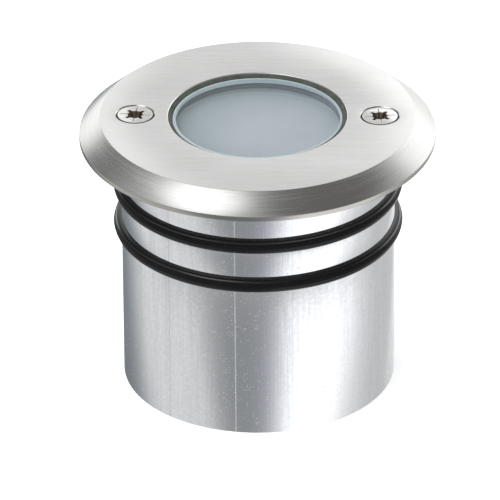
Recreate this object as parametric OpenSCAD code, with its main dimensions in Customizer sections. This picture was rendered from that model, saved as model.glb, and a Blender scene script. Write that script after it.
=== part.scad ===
// In-ground well light: a bevelled steel bezel clamps a stepped frosted glass over a turned aluminium tube,
// two O-rings seal the tube in its sleeve, and a cable gland sits in the base plate inside the tube's skirt.
// +Z points up the tube. The origin is the centre of the tube's bottom rim. The bezel screws lie on the X axis.

/* [Bezel] */
// Height from the tube's bottom rim to the bezel's top face
total_height = 64.5; // [63:0.5:80]
// Outer diameter of the bezel
bezel_d = 80; // [76:0.5:95]
// Width of the sloping bevel, seen from above
bevel_w = 4.7; // [3:0.1:5]
// Height of the sloping bevel
bevel_h = 4; // [3.6:0.1:5]
// Height of the upright land under the bevel
land_h = 1.1; // [0.8:0.1:2]
// Width of the steel from the opening over the glass to the bezel's edge
bezel_face_w = 20; // [18:0.5:22]
// Small chamfer at the top edge of the opening
aperture_chamfer = 0.2; // [0.1:0.05:0.4]
// Depth of the recess under the bezel that centres it on the tube
locating_h = 0.3; // [0.2:0.1:0.4]

/* [Bezel screws] */
// Distance of each bezel screw from the wall of the glass pocket
bezel_screw_inset = 4.55; // [4.3:0.05:4.9]
// Thread diameter of the bezel screws
bezel_screw_d = 4; // [3.5:0.1:4]
// Thread pitch of the bezel screws
bezel_screw_pitch = 0.7; // [0.6:0.05:0.75]
// Length of a bezel screw, head included
bezel_screw_length = 12; // [10:0.5:12.5]
// Diameter of the countersunk head
bezel_head_d = 8.4; // [7.6:0.1:8.6]
// Height of the head's upright edge
bezel_head_edge = 0.1; // [0.05:0.05:0.2]
// Turns that a screw backs off before its retainer meets the bezel
screw_free_turns = 1; // [0.5:0.25:1.25]
// Thickness of the nylon retainer on the screw's neck
retainer_h = 0.8; // [0.6:0.1:0.9]
// Diameter of the nylon retainer
retainer_d = 6; // [5.4:0.1:6.2]

/* [Lens] */
// Depth of the glass below the bezel's top face
lens_recess = 0.7; // [0.4:0.1:1]
// Height of the glass step that stands in the opening
lens_step_h = 2.9; // [2.4:0.1:3.2]
// Thickness of the wider flange of the glass
lens_flange_h = 3.1; // [2.6:0.1:3.5]
// Width of the glass flange beyond the step
lens_flange_w = 3.4; // [2.6:0.1:3.5]
// Polished chamfer on the edge of the glass
lens_chamfer = 0.3; // [0.1:0.05:0.5]
// Thickness of the rubber wall between glass and bezel
gasket_wall = 0.95; // [0.7:0.05:1.2]
// Thickness of the rubber between the glass flange and the bezel
upper_gasket_h = 0.6; // [0.4:0.1:0.8]
// Thickness of the flat ring under the glass
lower_gasket_h = 0.8; // [0.5:0.1:1]

/* [Housing] */
// Width of the tube's rim round the glass pocket
tube_rim_w = 7.9; // [7.6:0.1:9]
// Wall between the main chamber and the outside of the tube
chamber_wall = 7.15; // [6.8:0.05:7.3]
// Width of the ledge that carries the glass
lens_seat_w = 3.45; // [3:0.05:4]
// Thickness of the ledge under the glass
ledge_h = 3; // [2:0.1:4]
// Wall of the skirt below the base plate
skirt_wall = 2.5; // [2.2:0.1:2.6]
// Depth of the tapped holes for the bezel screws
bezel_tap_depth = 8.1; // [7.8:0.1:8.6]

/* [Sealing rings] */
// Thickness of each O-ring
ring_section = 3.53; // [3:0.05:3.6]
// Depth of the ring grooves
groove_depth = 1.8; // [1.5:0.05:1.9]
// Distance from the bezel's underside to the middle of the upper ring
upper_ring_drop = 11.3; // [11:0.1:12]
// Distance between the middles of the two rings
ring_spacing = 9.8; // [6:0.1:12]

/* [Base plate] */
// Thickness of the base plate
base_plate_h = 3; // [2.6:0.1:3.5]
// Thickness of the flat gasket above the base plate
base_gasket_h = 0.5; // [0.3:0.1:0.8]
// Number of screws that hold the base plate
base_screw_count = 4; // [3:1:6]
// Distance of the base plate screws from the skirt's wall
base_screw_edge = 2.55; // [2.4:0.05:2.8]

/* [Small screws] */
// Thread diameter of the small screws
small_screw_d = 2.5; // [2:0.1:2.5]
// Head diameter of the small screws
small_head_d = 4.4; // [3.8:0.1:4.5]
// Head height of the small screws
small_head_h = 1.6; // [1.2:0.1:1.7]
// Thread length of the base plate screws
base_screw_length = 8; // [6:0.5:10]
// Thread length of the screws in the heat plate
plate_screw_length = 6; // [5:0.5:6.5]
// Thread length of the screws through the LED board
board_screw_length = 4; // [3:0.5:4.4]

/* [Cable gland] */
// Outer diameter of the gland's threads
gland_thread_d = 12; // [11:0.5:12]
// Thread pitch of the gland
gland_pitch = 1.5; // [1:0.1:1.6]
// Distance across the flats of the gland's hexagons
gland_flats = 15; // [14.6:0.1:16]
// Thickness of the gland's fixed hexagon
gland_hex_h = 3; // [2.5:0.1:3.2]
// Length of the thread above the fixed hexagon
gland_upper_length = 7.5; // [7.2:0.1:8]
// Length of the thread below the fixed hexagon
gland_lower_length = 6.5; // [6:0.1:6.8]
// Thickness of the lock nut inside the housing
lock_nut_h = 2.8; // [2.4:0.1:3]
// Thickness of the flat washer outside the base plate
gland_washer_h = 1; // [0.6:0.1:1.2]
// Diameter of the cable that the gland clamps
cable_d = 6; // [5:0.1:6]
// Wall of the rubber sleeve that grips the cable
seal_wall = 1.4; // [1.2:0.05:1.4]
// Length of the rubber sleeve
seal_length = 5; // [4.5:0.1:5.2]
// Length of the clamping claw
claw_length = 3.6; // [3.2:0.1:3.8]
// Number of fingers on the clamping claw
claw_fingers = 8; // [6:1:10]
// Thickness of the dome nut's closed end
dome_end_h = 1.2; // [1:0.1:1.4]

/* [Light engine] */
// Thickness of the heat plate
heat_plate_h = 3; // [2.5:0.1:3.5]
// Thickness of both circuit boards
board_h = 1.6; // [1:0.1:1.6]
// Gap between the LED board and the heads of the heat plate screws
led_board_gap = 1.1; // [0.6:0.1:2]
// Width and depth of one LED package
led_side = 3.5; // [3:0.1:3.8]
// Height of one LED package
led_h = 0.8; // [0.6:0.1:1.2]
// Diameter of the clear dome on an LED
led_dome_d = 2.8; // [2:0.1:2.9]
// Number of LEDs
led_count = 3; // [2:1:4]
// Height of the reflector from the LED board to the ledge
reflector_h = 12.5; // [10:0.5:13]
// Sheet thickness of the reflector
reflector_wall = 0.8; // [0.6:0.05:1]
// Number of posts, of LED board screws and of heat plate screws
post_count = 3; // [3:1:4]

/* [Driver] */
// Gap between the driver board and the chamber's wall
driver_board_gap = 0.8; // [0.5:0.1:1.2]
// Diameter of the hole in the driver board for the cable
driver_hole_d = 9; // [8:0.5:10]
// Height of the posts under the driver board
lower_post_h = 6; // [5.6:0.1:6.5]
// Height of the posts over the driver board
upper_post_h = 7; // [6.9:0.1:7.4]
// Distance across the flats of the posts
post_flats = 4.5; // [4:0.1:4.6]
// Depth of the terminal block, towards the axis
terminal_block_w = 7.5; // [6:0.1:8]
// Width of the terminal block across its poles
terminal_block_l = 10; // [9.5:0.1:11]
// Height of the terminal block
terminal_block_h = 6; // [5:0.1:6.4]
// Distance between the two poles of the terminal block
terminal_pitch = 5; // [4.5:0.1:5]
// Diameter of the smoothing capacitor
capacitor_d = 5.6; // [5:0.1:6]
// Length of the smoothing capacitor
capacitor_length = 9; // [7:0.5:9.5]
// Diameter of the inductor
inductor_d = 8; // [7:0.1:8.2]
// Height of the inductor
inductor_h = 5; // [4:0.1:5.5]
// Diameter of the two leads to the LED board
lead_d = 1.4; // [1:0.1:1.6]

/* [Hidden] */

// Smoothness of round surfaces
$fn = 96;
// Overrun of every cut past the face that it opens
cut = 1;
// Gap round a piece that is laid in a recess of its own body
seat_gap = 0.05;
// Gap between threads that turn in each other, and round other sliding fits
running_gap = 0.05;
// Gap round a disc or board in the housing's bore
bore_gap = 0.15;
// Gap between the glass flange and the metal round it
lens_gap = 0.4;
// Depth of a drawn screw thread
thread_depth = 0.25;

bezel_h = bevel_h + land_h;
flange_z = total_height - bezel_h;
tube_top = flange_z + locating_h;
bezel_r = bezel_d / 2;
aperture_r = bezel_r - bezel_face_w;

lens_face_r = aperture_r - gasket_wall;
lens_r = lens_face_r + lens_flange_w;
lens_pocket_r = lens_r + lens_gap;
lens_top = total_height - lens_recess;
lens_flange_top = lens_top - lens_step_h;
lens_bottom = lens_flange_top - lens_flange_h;
lip_underside = lens_flange_top + upper_gasket_h;

tube_r = lens_pocket_r + tube_rim_w;
chamber_r = tube_r - chamber_wall;
skirt_r = tube_r - skirt_wall;
ledge_r = lens_r - lens_seat_w;
ledge_top = lens_bottom - lower_gasket_h;
ledge_underside = ledge_top - ledge_h;

upper_ring_z = flange_z - upper_ring_drop;
lower_ring_z = upper_ring_z - ring_spacing;
groove_floor_r = tube_r - groove_depth;
ring_middle_r = groove_floor_r + seat_gap / 2 + ring_section / 2;

// Gap round a bezel screw's shank in the bezel, and round its head and its retainer
screw_clear = 0.15;
screw_gap = 0.1;
bezel_screw_reach = lens_pocket_r + bezel_screw_inset;
screw_hole_r = bezel_screw_d / 2 + screw_clear;
screw_head_top = total_height - seat_gap;
screw_cone_top = screw_head_top - bezel_head_edge;
screw_cone_bottom = screw_cone_top - (bezel_head_d - bezel_screw_d) / 2;
countersink_r = bezel_head_d / 2 + screw_gap + total_height - screw_cone_top;
countersink_h = countersink_r - screw_hole_r;
screw_tip = screw_head_top - bezel_screw_length;
retainer_lift = screw_free_turns * bezel_screw_pitch;
retainer_bottom = tube_top + screw_gap;
retainer_pocket_top = retainer_bottom + retainer_h + retainer_lift + screw_gap;
retainer_pocket_r = retainer_d / 2 + lens_gap / 2;
screw_neck_r = bezel_screw_d / 2 - lens_gap;
screw_thread_top = retainer_bottom - seat_gap;
screw_recess_reach = bezel_head_d / 4;
screw_recess_w = bezel_head_d / 8;
screw_recess_h = bezel_head_d / 4;
tick_reach = bezel_head_d / 3;
tick_w = bezel_head_d / 50;

// The light engine and the driver hang in the chamber from the ledge down, and the skirt takes what is left
led_board_top = ledge_underside - reflector_h;
heat_plate_top = led_board_top - board_h;
heat_plate_bottom = heat_plate_top - heat_plate_h;
driver_top = heat_plate_bottom - upper_post_h;
driver_bottom = driver_top - board_h;
base_plate_top = driver_bottom - lower_post_h;
skirt_depth = base_plate_top - base_plate_h;
shoulder_z = base_plate_top + base_gasket_h;

base_plate_r = skirt_r - bore_gap;
base_screw_reach = skirt_r - base_screw_edge;
small_hole_r = small_screw_d / 2 + bore_gap;
small_tap_r = small_screw_d / 2 + running_gap;

gland_thread_r = gland_thread_d / 2;
gland_hex_top = skirt_depth - gland_washer_h;
gland_hex_bottom = gland_hex_top - gland_hex_h;
gland_lower_end = gland_hex_bottom - gland_lower_length;
cable_r = cable_d / 2;
cable_way_r = cable_r + bore_gap * 2;
seal_r = cable_r + seal_wall;
seal_pocket_r = seal_r + running_gap;
seal_bottom = gland_lower_end + seat_gap;
claw_rim_h = claw_length / 3;
claw_top = seal_bottom - bore_gap;
claw_bottom = claw_top - claw_length;
claw_tip_r = cable_way_r + seal_wall / 2;
claw_slot_w = cable_r / 5;
nut_top = gland_hex_bottom - bore_gap * 2;
nut_bottom = claw_bottom - running_gap * 2 - dome_end_h;
nut_cone_top = claw_top - claw_rim_h;
nut_grip_h = nut_top - claw_top;
nut_skirt_share = 0.72;

post_angle = 90;
post_place_share = 0.86;
post_reach = chamber_r * post_place_share;
post_stud_h = base_plate_h * 2 / 3;
post_tap_h = lower_post_h / 2 + seat_gap;
heat_plate_r = chamber_r - bore_gap;
driver_board_r = chamber_r - driver_board_gap;
led_board_r = post_reach - small_head_d / 2 - led_board_gap;
board_screw_place_share = 0.8;
board_screw_reach = led_board_r * board_screw_place_share;
reflector_low_share = 0.625;
reflector_low_r = board_screw_reach * reflector_low_share;
reflector_top_r = ledge_r - reflector_wall;
reflector_flange_r = chamber_r - lens_gap;
led_place_share = 0.506;
led_reach = reflector_low_r * led_place_share;

terminal_x = driver_hole_d / 2 + terminal_block_w;
terminal_screw_r = terminal_pitch / 4;
terminal_screw_h = terminal_block_h / 2;
// Bodies of the rectifier and of the driver chip along X, Y and Z, and places on the board as shares of its radius
rectifier_size = [5.6, 4.4, 2];
chip_size = [3.9, 4.9, 1.5];
capacitor_place_share = [-0.62, 0.12];
inductor_place_share = [-0.34, -0.56];
rectifier_place_share = [-0.36, 0.62];
chip_place_share = [0.36, -0.62];
small_part_places_share = [[0.3, 0.62], [0.42, 0.5], [0.5, -0.42], [0.1, -0.36]];
small_part_size = [chip_size.x / 2, chip_size.y / 4, chip_size.z / 2];
leg_count = 4;
leg_size = [chip_size.x / 5, chip_size.y / 12, chip_size.z / 3];

lead_apart = lead_d * 1.7;
lead_outer_y = (led_board_r + heat_plate_r) / 2;
lead_pad_y = led_board_r - lead_d * 1.6;
lead_bend_r = (lead_outer_y - lead_pad_y) / 2;
lead_bend_z = led_board_top + lead_d;

// Copies what follows round the axis, at a distance from it
module round_the_axis(count, reach, first = 0) {
    for (turn = [0 : count - 1])
        rotate([0, 0, first + 360 * turn / count])
            translate([reach, 0, 0])
                children();
}

// An upright tube from low_z to high_z
module sleeve(outer_r, inner_r, low_z, high_z) {
    translate([0, 0, low_z])
        difference() {
            cylinder(r = outer_r, h = high_z - low_z);
            translate([0, 0, -cut])
                cylinder(r = inner_r, h = high_z - low_z + cut * 2);
        }
}

// A hexagonal prism from low_z to high_z
module hexagon(flats, low_z, high_z) {
    translate([0, 0, low_z])
        cylinder(r = flats / 2 / cos(30), h = high_z - low_z, $fn = 6);
}

// The outline of a threaded rod that starts at high_z and runs down, as steps in its radius
function thread_outline(r, depth, pitch, low_z, high_z) =
    let (turns = floor((high_z - low_z) / pitch))
    [for (turn = [0 : turns - 1]) each [
        [r - depth, high_z - pitch * turn],
        [r, high_z - pitch * (turn + 0.4)],
        [r, high_z - pitch * (turn + 0.6)]
    ]];

module threaded_rod(r, depth, pitch, low_z, high_z) {
    rotate_extrude()
        polygon(concat(
            [[0, high_z]],
            thread_outline(r, depth, pitch, low_z, high_z),
            [[r - depth, low_z], [0, low_z]]
        ));
}

// The cross recess of a screw head whose top face is at z = 0
module cross_recess(reach, w, h) {
    for (arm = [45, 135])
        rotate([0, 0, arm])
            translate([-reach, -w / 2, -h])
                cube([reach * 2, w, h + cut]);
}

// A small pan head screw: the head stands on z = 0 and the thread points down
module small_screw(thread_length) {
    difference() {
        union() {
            cylinder(d = small_head_d, h = small_head_h);
            translate([0, 0, -thread_length])
                cylinder(d = small_screw_d, h = thread_length);
        }
        translate([0, 0, small_head_h])
            cross_recess(small_head_d / 4, small_head_d / 8, small_head_h / 2);
    }
}

module housing() {
    color("silver")
    difference() {
        cylinder(r = tube_r, h = tube_top);
        translate([0, 0, -cut])
            cylinder(r = skirt_r, h = shoulder_z + cut);
        cylinder(r = chamber_r, h = ledge_underside);
        cylinder(r = ledge_r, h = tube_top + cut);
        translate([0, 0, ledge_top])
            cylinder(r = lens_pocket_r, h = tube_top - ledge_top + cut);
        for (ring_z = [upper_ring_z, lower_ring_z])
            sleeve(tube_r + cut, groove_floor_r, ring_z - ring_section / 2 - seat_gap,
                ring_z + ring_section / 2 + seat_gap);
        for (side = [-1, 1])
            translate([side * bezel_screw_reach, 0, tube_top - bezel_tap_depth])
                cylinder(r = bezel_screw_d / 2 + running_gap, h = bezel_tap_depth + cut);
        round_the_axis(base_screw_count, base_screw_reach, 45)
            translate([0, 0, shoulder_z - cut])
                cylinder(r = small_tap_r, h = base_screw_length + cut);
    }
}

module o_ring(ring_z) {
    color("black")
    translate([0, 0, ring_z])
        rotate_extrude()
            translate([ring_middle_r, 0])
                circle(d = ring_section);
}

module upper_o_ring() {
    o_ring(upper_ring_z);
}

module lower_o_ring() {
    o_ring(lower_ring_z);
}

module bezel_ring() {
    color("gainsboro")
    difference() {
        rotate_extrude()
            polygon([
                [aperture_r + aperture_chamfer, total_height],
                [bezel_r - bevel_w, total_height],
                [bezel_r, total_height - bevel_h],
                [bezel_r, flange_z],
                [tube_r + screw_gap, flange_z],
                [tube_r + screw_gap, tube_top],
                [lens_pocket_r, tube_top],
                [lens_pocket_r, lip_underside],
                [aperture_r, lip_underside],
                [aperture_r, total_height - aperture_chamfer]
            ]);
        for (side = [-1, 1])
            translate([side * bezel_screw_reach, 0, 0]) {
                translate([0, 0, flange_z - cut])
                    cylinder(r = screw_hole_r, h = bezel_h + cut * 2);
                translate([0, 0, total_height - countersink_h])
                    cylinder(r1 = screw_hole_r, r2 = countersink_r, h = countersink_h);
                translate([0, 0, flange_z - cut])
                    cylinder(r = retainer_pocket_r, h = retainer_pocket_top - flange_z + cut);
            }
    }
}

module lens() {
    color("lightblue", 0.6)
    rotate_extrude()
        polygon([
            [0, lens_top],
            [lens_face_r - lens_chamfer, lens_top],
            [lens_face_r, lens_top - lens_chamfer],
            [lens_face_r, lens_flange_top],
            [lens_r, lens_flange_top],
            [lens_r, lens_bottom],
            [0, lens_bottom]
        ]);
}

module upper_lens_gasket() {
    color("darkslategray")
    rotate_extrude()
        polygon([
            [lens_face_r + seat_gap, lens_top],
            [aperture_r - seat_gap, total_height - aperture_chamfer],
            [aperture_r - seat_gap, lip_underside],
            [lens_r, lip_underside],
            [lens_r, lens_flange_top],
            [lens_face_r + seat_gap, lens_flange_top]
        ]);
}

module lower_lens_gasket() {
    color("dimgray")
    sleeve(lens_r, ledge_r + lens_gap, ledge_top, lens_bottom);
}

module bezel_screw(side) {
    color("lightgray")
    translate([side * bezel_screw_reach, 0, 0])
        difference() {
            union() {
                translate([0, 0, screw_cone_top])
                    cylinder(d = bezel_head_d, h = bezel_head_edge);
                translate([0, 0, screw_cone_bottom])
                    cylinder(d1 = bezel_screw_d, d2 = bezel_head_d, h = screw_cone_top - screw_cone_bottom);
                translate([0, 0, retainer_bottom + retainer_h + seat_gap])
                    cylinder(d = bezel_screw_d,
                        h = screw_cone_bottom - retainer_bottom - retainer_h - seat_gap);
                translate([0, 0, screw_thread_top])
                    cylinder(r = screw_neck_r, h = screw_cone_bottom - screw_thread_top);
                threaded_rod(bezel_screw_d / 2, thread_depth, bezel_screw_pitch, screw_tip, screw_thread_top);
            }
            translate([0, 0, screw_head_top]) {
                cross_recess(screw_recess_reach, screw_recess_w, screw_recess_h);
                for (tick = [0, 90])
                    rotate([0, 0, tick])
                        translate([-tick_reach, -tick_w / 2, -tick_w])
                            cube([tick_reach * 2, tick_w, tick_w + cut]);
            }
        }
}

module left_bezel_screw() {
    bezel_screw(-1);
}

module right_bezel_screw() {
    bezel_screw(1);
}

module screw_retainer(side) {
    color("ivory")
    translate([side * bezel_screw_reach, 0, 0])
        sleeve(retainer_d / 2, screw_neck_r + running_gap, retainer_bottom, retainer_bottom + retainer_h);
}

module left_screw_retainer() {
    screw_retainer(-1);
}

module right_screw_retainer() {
    screw_retainer(1);
}

module base_plate() {
    color("darkgray")
    difference() {
        translate([0, 0, skirt_depth])
            cylinder(r = base_plate_r, h = base_plate_h);
        translate([0, 0, skirt_depth - cut])
            cylinder(r = gland_thread_r + running_gap, h = base_plate_h + cut * 2);
        round_the_axis(base_screw_count, base_screw_reach, 45)
            translate([0, 0, skirt_depth - cut])
                cylinder(r = small_hole_r, h = base_plate_h + cut * 2);
        round_the_axis(post_count, post_reach, post_angle)
            translate([0, 0, base_plate_top - post_stud_h])
                cylinder(r = small_tap_r, h = post_stud_h + cut);
    }
}

module base_plate_gasket() {
    color("dimgray")
    difference() {
        sleeve(base_plate_r, chamber_r + bore_gap, base_plate_top, shoulder_z);
        round_the_axis(base_screw_count, base_screw_reach, 45)
            translate([0, 0, base_plate_top - cut])
                cylinder(r = small_hole_r, h = base_gasket_h + cut * 2);
    }
}

module base_plate_screws() {
    color("lightgray")
    round_the_axis(base_screw_count, base_screw_reach, 45)
        translate([0, 0, skirt_depth])
            mirror([0, 0, 1])
                small_screw(base_screw_length);
}

module gland_body() {
    color("dimgray")
    difference() {
        union() {
            hexagon(gland_flats, gland_hex_bottom, gland_hex_top);
            threaded_rod(gland_thread_r, thread_depth, gland_pitch, gland_lower_end, gland_hex_bottom);
            threaded_rod(gland_thread_r, thread_depth, gland_pitch, gland_hex_top,
                gland_hex_top + gland_upper_length);
        }
        translate([0, 0, gland_lower_end - cut])
            cylinder(r = cable_way_r, h = gland_lower_length + gland_hex_h + gland_upper_length + cut * 2);
        translate([0, 0, gland_lower_end - cut])
            cylinder(r = seal_pocket_r, h = seal_length + cut);
    }
}

module gland_washer() {
    color("black")
    sleeve(gland_flats / 2, gland_thread_r + running_gap, gland_hex_top, skirt_depth);
}

module gland_lock_nut() {
    color("goldenrod")
    difference() {
        hexagon(gland_flats, base_plate_top, base_plate_top + lock_nut_h);
        translate([0, 0, base_plate_top - cut])
            cylinder(r = gland_thread_r + running_gap, h = lock_nut_h + cut * 2);
    }
}

module gland_seal() {
    color("black")
    sleeve(seal_r, cable_r, seal_bottom, gland_lower_end + seal_length - seat_gap);
}

module gland_claw() {
    color("gray")
    difference() {
        rotate_extrude()
            polygon([
                [cable_way_r, claw_top],
                [seal_r, claw_top],
                [seal_r, claw_top - claw_rim_h],
                [claw_tip_r, claw_bottom],
                [cable_way_r, claw_bottom]
            ]);
        round_the_axis(claw_fingers, 0)
            translate([0, -claw_slot_w / 2, claw_bottom - cut])
                cube([seal_r + cut, claw_slot_w, claw_length - claw_rim_h + cut]);
    }
}

module gland_dome_nut() {
    color("dimgray")
    difference() {
        union() {
            hexagon(gland_flats, nut_top - nut_grip_h * nut_skirt_share, nut_top);
            rotate_extrude()
                polygon([
                    [0, nut_top - nut_grip_h * nut_skirt_share],
                    [gland_flats / 2, nut_top - nut_grip_h * nut_skirt_share],
                    [gland_flats / 2, claw_top],
                    [seal_r + dome_end_h, nut_bottom + dome_end_h / 2],
                    [seal_r + dome_end_h / 2, nut_bottom],
                    [0, nut_bottom]
                ]);
        }
        translate([0, 0, claw_top])
            cylinder(r = gland_thread_r + running_gap, h = nut_grip_h + cut);
        translate([0, 0, nut_cone_top])
            cylinder(r = seal_r + bore_gap, h = claw_top - nut_cone_top + cut);
        translate([0, 0, claw_bottom - running_gap * 2])
            cylinder(r1 = claw_tip_r + bore_gap, r2 = seal_r + bore_gap,
                h = nut_cone_top - claw_bottom + running_gap * 2);
        translate([0, 0, nut_bottom - cut])
            cylinder(r = cable_way_r + bore_gap, h = dome_end_h + cut * 2);
    }
}

// One hexagonal post with a stud below and a tapped hole above
module post(low_z, high_z, stud_h, tap_h) {
    difference() {
        union() {
            hexagon(post_flats, low_z, high_z);
            translate([0, 0, low_z - stud_h])
                cylinder(d = small_screw_d, h = stud_h + cut);
        }
        translate([0, 0, high_z - tap_h])
            cylinder(r = small_tap_r, h = tap_h + cut);
    }
}

module lower_posts() {
    color("khaki")
    round_the_axis(post_count, post_reach, post_angle)
        post(base_plate_top, driver_bottom, post_stud_h - seat_gap, post_tap_h);
}

module upper_posts() {
    color("khaki")
    round_the_axis(post_count, post_reach, post_angle)
        post(driver_top, heat_plate_bottom, board_h + post_tap_h - seat_gap,
            plate_screw_length - heat_plate_h + seat_gap);
}

module driver_board() {
    color("darkgreen")
    difference() {
        translate([0, 0, driver_bottom])
            cylinder(r = driver_board_r, h = board_h);
        translate([0, 0, driver_bottom - cut])
            cylinder(d = driver_hole_d, h = board_h + cut * 2);
        round_the_axis(post_count, post_reach, post_angle)
            translate([0, 0, driver_bottom - cut])
                cylinder(r = small_hole_r, h = board_h + cut * 2);
    }
}

module terminal_block() {
    color("forestgreen")
    translate([terminal_x, 0, driver_top])
        difference() {
            translate([-terminal_block_w / 2, -terminal_block_l / 2, 0])
                cube([terminal_block_w, terminal_block_l, terminal_block_h]);
            for (pole = [-1, 1])
                translate([0, pole * terminal_pitch / 2, 0]) {
                    translate([0, 0, terminal_block_h - terminal_screw_h])
                        cylinder(r = terminal_screw_r + running_gap, h = terminal_screw_h + cut);
                    translate([-terminal_block_w / 2 - cut, -terminal_screw_r, terminal_block_h / 6])
                        cube([terminal_block_w / 2 + cut, terminal_screw_r * 2, terminal_block_h / 4]);
                }
        }
}

module terminal_screws() {
    color("lightgray")
    for (pole = [-1, 1])
        translate([terminal_x, pole * terminal_pitch / 2, driver_top + terminal_block_h - terminal_screw_h])
            difference() {
                cylinder(r = terminal_screw_r, h = terminal_screw_h * 0.8);
                translate([-terminal_screw_r - cut, -tick_w * 2, terminal_screw_h / 2])
                    cube([terminal_screw_r * 2 + cut * 2, tick_w * 4, terminal_screw_h]);
            }
}

module driver_capacitor() {
    color("midnightblue")
    translate([
        driver_board_r * capacitor_place_share.x,
        driver_board_r * capacitor_place_share.y - capacitor_length / 2,
        driver_top + capacitor_d / 2
    ])
        rotate([-90, 0, 0])
            cylinder(d = capacitor_d, h = capacitor_length);
}

module driver_inductor() {
    color("saddlebrown")
    translate([
        driver_board_r * inductor_place_share.x,
        driver_board_r * inductor_place_share.y,
        driver_top
    ])
        rotate_extrude()
            polygon([
                [0, 0],
                [inductor_d / 2, 0],
                [inductor_d / 2, inductor_h / 5],
                [inductor_d / 2.4, inductor_h / 4],
                [inductor_d / 2.4, inductor_h * 3 / 4],
                [inductor_d / 2, inductor_h * 4 / 5],
                [inductor_d / 2, inductor_h],
                [0, inductor_h]
            ]);
}

// A chip or rectifier: a moulded body on two rows of legs
module legged_body(size, places_share, legs) {
    translate([driver_board_r * places_share.x, driver_board_r * places_share.y, driver_top]) {
        translate([-size.x / 2, -size.y / 2, leg_size.z / 2])
            cube([size.x, size.y, size.z - leg_size.z / 2]);
        for (side = [-1, 1], leg = [0 : legs - 1])
            translate([
                side * (size.x / 2 + leg_size.x / 2) - leg_size.x / 2,
                size.y * ((leg + 0.5) / legs - 0.5) - leg_size.y / 2,
                0
            ])
                translate([-side * leg_size.x / 4, 0, 0])
                    cube([leg_size.x, leg_size.y, leg_size.z]);
    }
}

module driver_rectifier() {
    color("black")
    legged_body(rectifier_size, rectifier_place_share, leg_count / 2);
}

module driver_chip() {
    color("black") {
        legged_body(chip_size, chip_place_share, leg_count);
        for (place = small_part_places_share)
            translate([driver_board_r * place.x, driver_board_r * place.y, driver_top])
                translate([-small_part_size.x / 2, -small_part_size.y / 2, 0])
                    cube(small_part_size);
    }
}

module heat_plate() {
    color("silver")
    difference() {
        translate([0, 0, heat_plate_bottom])
            cylinder(r = heat_plate_r, h = heat_plate_h);
        round_the_axis(post_count, post_reach, post_angle)
            translate([0, 0, heat_plate_bottom - cut])
                cylinder(r = small_hole_r, h = heat_plate_h + cut * 2);
        round_the_axis(post_count, board_screw_reach, post_angle)
            translate([0, 0, heat_plate_bottom - cut])
                cylinder(r = small_tap_r, h = heat_plate_h + cut * 2);
        translate([0, -lead_outer_y, heat_plate_bottom - cut])
            for (side = [-1, 1])
                translate([side * lead_apart / 2, 0, 0])
                    cylinder(d = lead_d * 1.6, h = heat_plate_h + cut * 2);
    }
}

module heat_plate_screws() {
    color("lightgray")
    round_the_axis(post_count, post_reach, post_angle)
        translate([0, 0, heat_plate_top])
            small_screw(plate_screw_length);
}

module led_board() {
    color("white")
    difference() {
        translate([0, 0, heat_plate_top])
            cylinder(r = led_board_r, h = board_h);
        round_the_axis(post_count, board_screw_reach, post_angle)
            translate([0, 0, heat_plate_top - cut])
                cylinder(r = small_hole_r, h = board_h + cut * 2);
    }
}

module led_board_screws() {
    color("lightgray")
    round_the_axis(post_count, board_screw_reach, post_angle)
        translate([0, 0, led_board_top])
            small_screw(board_screw_length);
}

module led_emitters() {
    color("gold")
    round_the_axis(led_count, led_reach, -post_angle)
        translate([0, 0, led_board_top]) {
            translate([-led_side / 2, -led_side / 2, 0])
                cube([led_side, led_side, led_h]);
            intersection() {
                translate([0, 0, led_h])
                    sphere(d = led_dome_d);
                translate([-led_side / 2, -led_side / 2, led_h / 2])
                    cube([led_side, led_side, led_side]);
            }
        }
}

// One lead from the driver board up through the heat plate, over the LED board's edge and down to its pad
module led_lead(side) {
    translate([side * lead_apart / 2, 0, 0]) {
        translate([0, -lead_outer_y, driver_top])
            cylinder(d = lead_d, h = lead_bend_z - driver_top);
        translate([0, -lead_pad_y, led_board_top])
            cylinder(d = lead_d, h = lead_bend_z - led_board_top);
        translate([0, -(lead_outer_y + lead_pad_y) / 2, lead_bend_z])
            rotate([90, 0, 90])
                rotate_extrude(angle = 180)
                    translate([lead_bend_r, 0])
                        circle(d = lead_d);
    }
}

module led_lead_positive() {
    color("firebrick")
    led_lead(1);
}

module led_lead_negative() {
    color("black")
    led_lead(-1);
}

module reflector() {
    color("whitesmoke")
    rotate_extrude()
        polygon([
            [reflector_low_r, led_board_top],
            [reflector_top_r - reflector_wall, ledge_underside - reflector_wall],
            [reflector_top_r - reflector_wall, ledge_underside],
            [reflector_flange_r, ledge_underside],
            [reflector_flange_r, ledge_underside - reflector_wall],
            [reflector_top_r, ledge_underside - reflector_wall],
            [reflector_low_r + reflector_wall, led_board_top]
        ]);
}

housing();
upper_o_ring();
lower_o_ring();
bezel_ring();
lens();
upper_lens_gasket();
lower_lens_gasket();
left_bezel_screw();
right_bezel_screw();
left_screw_retainer();
right_screw_retainer();
base_plate();
base_plate_gasket();
base_plate_screws();
gland_body();
gland_washer();
gland_lock_nut();
gland_seal();
gland_claw();
gland_dome_nut();
lower_posts();
driver_board();
terminal_block();
terminal_screws();
driver_capacitor();
driver_inductor();
driver_rectifier();
driver_chip();
upper_posts();
heat_plate();
heat_plate_screws();
led_board();
led_board_screws();
led_emitters();
led_lead_positive();
led_lead_negative();
reflector();
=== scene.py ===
from math import asin, atan2, ceil, cos, degrees, pi, radians, sin, tan

import bmesh
import bpy
from mathutils import Matrix, Vector


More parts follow.
